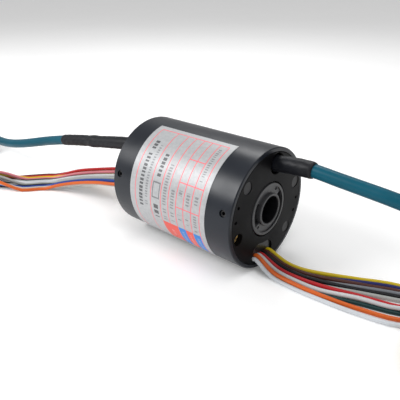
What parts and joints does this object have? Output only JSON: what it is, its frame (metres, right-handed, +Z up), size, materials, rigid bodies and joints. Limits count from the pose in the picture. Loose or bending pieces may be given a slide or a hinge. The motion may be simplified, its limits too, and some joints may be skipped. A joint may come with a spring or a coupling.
{
  "type": "through-bore slip ring",
  "caption": "Through-bore slip ring with a rotor sleeve on two bearings, wired power and Ethernet leads at both ends, and a printed label round the housing.",
  "frame": {"origin": "on the bore axis, halfway along the housing tube", "axes": "+X along the bore towards the stator's lead face, +Z up; the slip ring lies on its side on the plane z = -0.028, with its leads on that plane"},
  "size_m": [0.4206, 0.0983, 0.056],
  "materials": {
    "housing": "black anodised, satin",
    "caps": "black anodised, matte",
    "rotor": "black anodised, matte",
    "black_screws": "black oxide",
    "brass": "turned",
    "gold_plate": "gold plated",
    "bearing_steel": "ground",
    "brush_block": "glass-epoxy laminate",
    "insulator": "moulded",
    "label": "printed film",
    "plugs": "matte",
    "potting": "epoxy, satin",
    "gland": "matte",
    "sleeves": "heat-shrink, matte",
    "ethernet_cable": "extruded jacket, satin",
    "wire_yellow": "extruded insulation, satin",
    "wire_navy": "extruded insulation, satin",
    "wire_brown": "extruded insulation, satin",
    "wire_grey": "extruded insulation, satin",
    "wire_black": "extruded insulation, satin",
    "wire_ash": "extruded insulation, satin",
    "wire_red": "extruded insulation, satin",
    "wire_cream": "extruded insulation, satin",
    "wire_white": "extruded insulation, satin",
    "wire_green": "extruded insulation, satin",
    "wire_orange": "extruded insulation, satin",
    "wire_chalk": "extruded insulation, satin",
    "wire_pink": "extruded insulation, satin",
    "wire_blue": "extruded insulation, satin"
  },
  "bodies": {
    "stator": {"housing": "housing", "front_end_cap": "caps", "rear_end_cap": "caps", "front_cap_grub_screws": "black_screws", "rear_cap_grub_screws": "black_screws", "tie_posts": "brass", "front_tie_nuts": "brass", "rear_tie_screws": "black_screws", "counterbore_plugs": "plugs", "front_outer_race": "bearing_steel", "rear_outer_race": "bearing_steel", "brush_block_right": "brush_block", "brush_block_left": "brush_block", "brushes_right": "gold_plate", "brushes_left": "gold_plate", "label": "label", "front_wire_potting": "potting", "front_cable_gland": "gland", "front_cable_sleeve": "sleeves", "front_ethernet_cable": "ethernet_cable", "front_coil": "ethernet_cable", "front_wire_yellow": "wire_yellow", "front_wire_navy": "wire_navy", "front_wire_brown": "wire_brown", "front_wire_grey": "wire_grey", "front_wire_black": "wire_black", "front_wire_ash": "wire_ash", "front_wire_red": "wire_red", "front_wire_cream": "wire_cream", "front_wire_white": "wire_white", "front_wire_green": "wire_green", "front_wire_orange": "wire_orange", "front_wire_chalk": "wire_chalk"},
    "rotor": {"rotor_sleeve": "rotor", "rotor_flange": "caps", "flange_set_screws": "black_screws", "insulator_stack": "insulator", "power_rings": "gold_plate", "signal_rings": "gold_plate", "front_inner_race": "bearing_steel", "rear_inner_race": "bearing_steel", "rear_wire_potting": "potting", "rear_cable_sleeve": "sleeves", "rear_ethernet_cable": "ethernet_cable", "rear_coil": "ethernet_cable", "rear_wire_brown": "wire_brown", "rear_wire_red": "wire_red", "rear_wire_yellow": "wire_yellow", "rear_wire_pink": "wire_pink", "rear_wire_green": "wire_green", "rear_wire_white": "wire_white", "rear_wire_chalk": "wire_chalk", "rear_wire_ash": "wire_ash", "rear_wire_black": "wire_black", "rear_wire_blue": "wire_blue", "rear_wire_cream": "wire_cream", "rear_wire_orange": "wire_orange"},
    "front_balls": {"front_ball_set": "bearing_steel"},
    "rear_balls": {"rear_ball_set": "bearing_steel"}
  },
  "joints": [
    {"name": "rotor_spin", "type": "hinge", "parent": "stator", "child": "rotor", "pos_m": [0, 0, 0], "axis": [1, 0, 0], "continuous": true},
    {"name": "front_ball_orbit", "type": "hinge", "parent": "stator", "child": "front_balls", "pos_m": [0.0305, 0, 0], "axis": [1, 0, 0], "continuous": true},
    {"name": "rear_ball_orbit", "type": "hinge", "parent": "stator", "child": "rear_balls", "pos_m": [-0.0305, 0, 0], "axis": [1, 0, 0], "continuous": true}
  ],
  "couplings": [
    {"joint": "front_ball_orbit", "follows": "rotor_spin", "ratio": 0.4667},
    {"joint": "rear_ball_orbit", "follows": "rotor_spin", "ratio": 0.4667}
  ]
}
